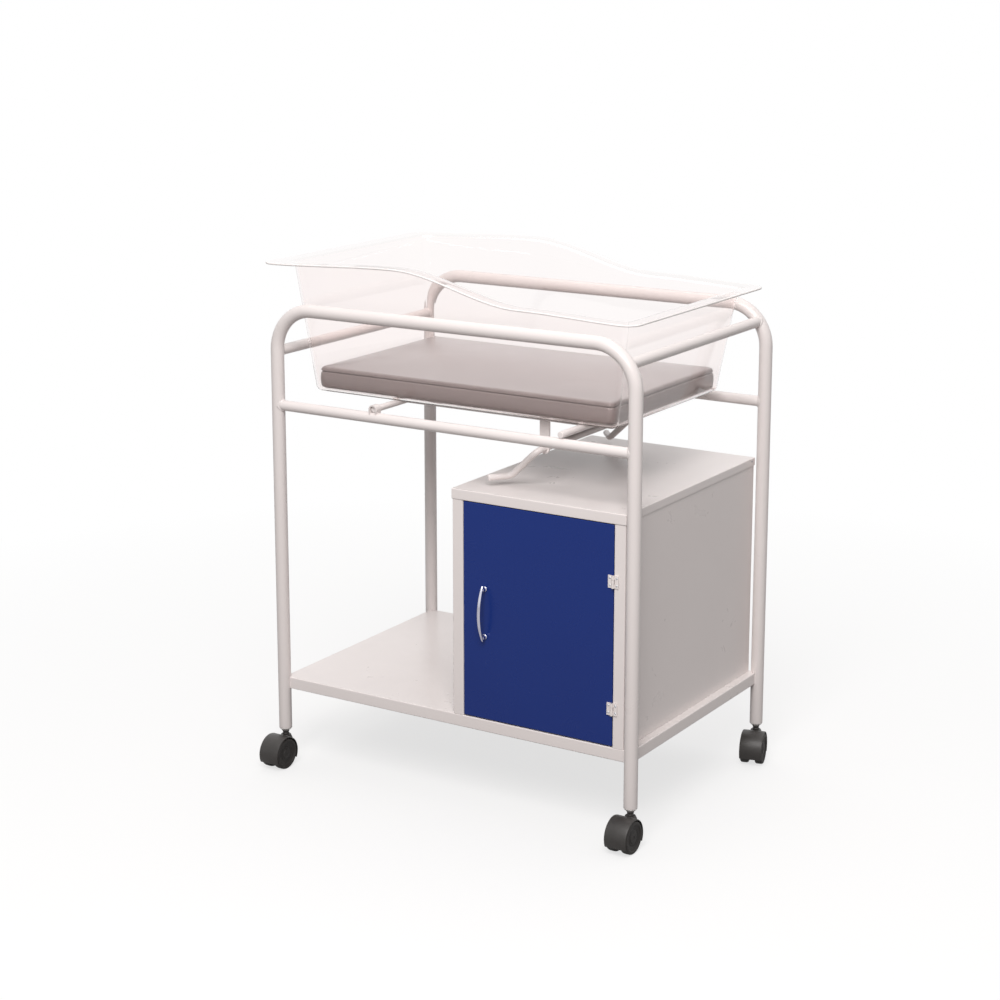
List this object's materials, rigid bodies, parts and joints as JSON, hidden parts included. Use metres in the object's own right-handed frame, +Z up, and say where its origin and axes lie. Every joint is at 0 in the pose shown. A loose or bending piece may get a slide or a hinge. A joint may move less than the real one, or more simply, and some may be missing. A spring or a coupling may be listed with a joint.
{
  "type": "hospital bassinet",
  "caption": "Wheeled hospital bassinet: clear tub and mattress on a tilting cradle, in a white tube frame with an open shelf and a blue-doored cabinet.",
  "frame": {"origin": "on the floor, midway between the four legs", "axes": "+X from the head end to the foot end, +Y from the door side to the rear, +Z up"},
  "size_m": [0.836, 0.6287, 0.994],
  "materials": {
    "white_paint": "off-white powder coat, satin",
    "blue_paint": "dark blue enamel, semi-gloss",
    "chrome_plate": "polished plate",
    "zinc_steel": "zinc-plated",
    "pale_plastic": "moulded, matt",
    "black_plastic": "moulded, fine grain",
    "wheel_tread": "hard rubber, matt",
    "clear_plastic": "clear moulded sheet, polished",
    "vinyl_cover": "wipe-clean vinyl cover, soft sheen"
  },
  "bodies": {
    "frame": {"front_frame": "white_paint", "rear_frame": "white_paint", "front_mid_rail": "white_paint", "rear_mid_rail": "white_paint", "head_end_tube": "white_paint", "foot_end_tube": "white_paint", "bottom_shelf": "white_paint", "cabinet_shell": "white_paint", "cabinet_top": "white_paint", "hinge_upper_stile_leaf": "white_paint", "hinge_lower_stile_leaf": "white_paint", "hinge_upper_pin": "zinc_steel", "hinge_lower_pin": "zinc_steel", "door_catch": "pale_plastic", "pivot_clip_front": "white_paint", "pivot_clip_rear": "white_paint", "leg_plug_fl": "pale_plastic", "caster_fl_stem": "black_plastic", "leg_plug_fr": "pale_plastic", "caster_fr_stem": "black_plastic", "leg_plug_rl": "pale_plastic", "caster_rl_stem": "black_plastic", "leg_plug_rr": "pale_plastic", "caster_rr_stem": "black_plastic"},
    "door": {"door": "blue_paint", "door_handle": "chrome_plate", "handle_screw_upper": "zinc_steel", "handle_screw_lower": "zinc_steel", "door_strike": "zinc_steel", "hinge_upper_door_leaf": "white_paint", "hinge_lower_door_leaf": "white_paint"},
    "cradle": {"head_cross_rod": "white_paint", "foot_cross_rod": "white_paint", "cradle_bar_front": "white_paint", "cradle_bar_rear": "white_paint", "stay_hanger_front": "white_paint", "stay_hanger_rear": "white_paint"},
    "stay": {"tilt_stay": "white_paint"},
    "tub": {"tub": "clear_plastic"},
    "mattress": {"mattress": "vinyl_cover"},
    "caster_fl": {"caster_fl_hood": "black_plastic", "caster_fl_axle": "zinc_steel"},
    "caster_fl_wheel_left": {"caster_fl_wheel_left": "wheel_tread"},
    "caster_fl_wheel_right": {"caster_fl_wheel_right": "wheel_tread"},
    "caster_fr": {"caster_fr_hood": "black_plastic", "caster_fr_axle": "zinc_steel"},
    "caster_fr_wheel_left": {"caster_fr_wheel_left": "wheel_tread"},
    "caster_fr_wheel_right": {"caster_fr_wheel_right": "wheel_tread"},
    "caster_rl": {"caster_rl_hood": "black_plastic", "caster_rl_axle": "zinc_steel"},
    "caster_rl_wheel_left": {"caster_rl_wheel_left": "wheel_tread"},
    "caster_rl_wheel_right": {"caster_rl_wheel_right": "wheel_tread"},
    "caster_rr": {"caster_rr_hood": "black_plastic", "caster_rr_axle": "zinc_steel"},
    "caster_rr_wheel_left": {"caster_rr_wheel_left": "wheel_tread"},
    "caster_rr_wheel_right": {"caster_rr_wheel_right": "wheel_tread"}
  },
  "joints": [
    {"name": "door_hinge", "type": "hinge", "parent": "frame", "child": "door", "pos_m": [0.343, -0.2581, 0.3825], "axis": [0, 0, 1], "range_deg": [0, 150]},
    {"name": "cradle_tilt", "type": "hinge", "parent": "frame", "child": "cradle", "pos_m": [-0.16, 0, 0.7313], "axis": [0, -1, 0], "range_deg": [0, 6]},
    {"name": "stay_swing", "type": "hinge", "parent": "cradle", "child": "stay", "pos_m": [0.143, 0, 0.676], "axis": [0, -1, 0], "range_deg": [0, 35.01]},
    {"name": "tub_lift", "type": "slide", "parent": "cradle", "child": "tub", "axis": [0, 0, 1], "range_m": [0, 0.25]},
    {"name": "mattress_lift", "type": "slide", "parent": "tub", "child": "mattress", "axis": [0, 0, 1], "range_m": [0, 0.3]},
    {"name": "caster_fl_swivel", "type": "hinge", "parent": "frame", "child": "caster_fl", "pos_m": [-0.382, -0.255, 0.05], "axis": [0, 0, 1], "continuous": true},
    {"name": "caster_fl_spin_left", "type": "hinge", "parent": "caster_fl", "child": "caster_fl_wheel_left", "pos_m": [-0.382, -0.279, 0.03], "axis": [1, 0, 0], "continuous": true},
    {"name": "caster_fl_spin_right", "type": "hinge", "parent": "caster_fl", "child": "caster_fl_wheel_right", "pos_m": [-0.382, -0.279, 0.03], "axis": [1, 0, 0], "continuous": true},
    {"name": "caster_fr_swivel", "type": "hinge", "parent": "frame", "child": "caster_fr", "pos_m": [0.382, -0.255, 0.05], "axis": [0, 0, 1], "continuous": true},
    {"name": "caster_fr_spin_left", "type": "hinge", "parent": "caster_fr", "child": "caster_fr_wheel_left", "pos_m": [0.382, -0.279, 0.03], "axis": [1, 0, 0], "continuous": true},
    {"name": "caster_fr_spin_right", "type": "hinge", "parent": "caster_fr", "child": "caster_fr_wheel_right", "pos_m": [0.382, -0.279, 0.03], "axis": [1, 0, 0], "continuous": true},
    {"name": "caster_rl_swivel", "type": "hinge", "parent": "frame", "child": "caster_rl", "pos_m": [-0.382, 0.255, 0.05], "axis": [0, 0, 1], "continuous": true},
    {"name": "caster_rl_spin_left", "type": "hinge", "parent": "caster_rl", "child": "caster_rl_wheel_left", "pos_m": [-0.38821, 0.27818, 0.03], "axis": [-0.9659, -0.2588, 0], "continuous": true},
    {"name": "caster_rl_spin_right", "type": "hinge", "parent": "caster_rl", "child": "caster_rl_wheel_right", "pos_m": [-0.38821, 0.27818, 0.03], "axis": [-0.9659, -0.2588, 0], "continuous": true},
    {"name": "caster_rr_swivel", "type": "hinge", "parent": "frame", "child": "caster_rr", "pos_m": [0.382, 0.255, 0.05], "axis": [0, 0, 1], "continuous": true},
    {"name": "caster_rr_spin_left", "type": "hinge", "parent": "caster_rr", "child": "caster_rr_wheel_left", "pos_m": [0.38821, 0.23182, 0.03], "axis": [0.9659, 0.2588, 0], "continuous": true},
    {"name": "caster_rr_spin_right", "type": "hinge", "parent": "caster_rr", "child": "caster_rr_wheel_right", "pos_m": [0.38821, 0.23182, 0.03], "axis": [0.9659, 0.2588, 0], "continuous": true}
  ],
  "couplings": [
    {"joint": "stay_swing", "follows": "cradle_tilt", "ratio": 5.8333}
  ]
}
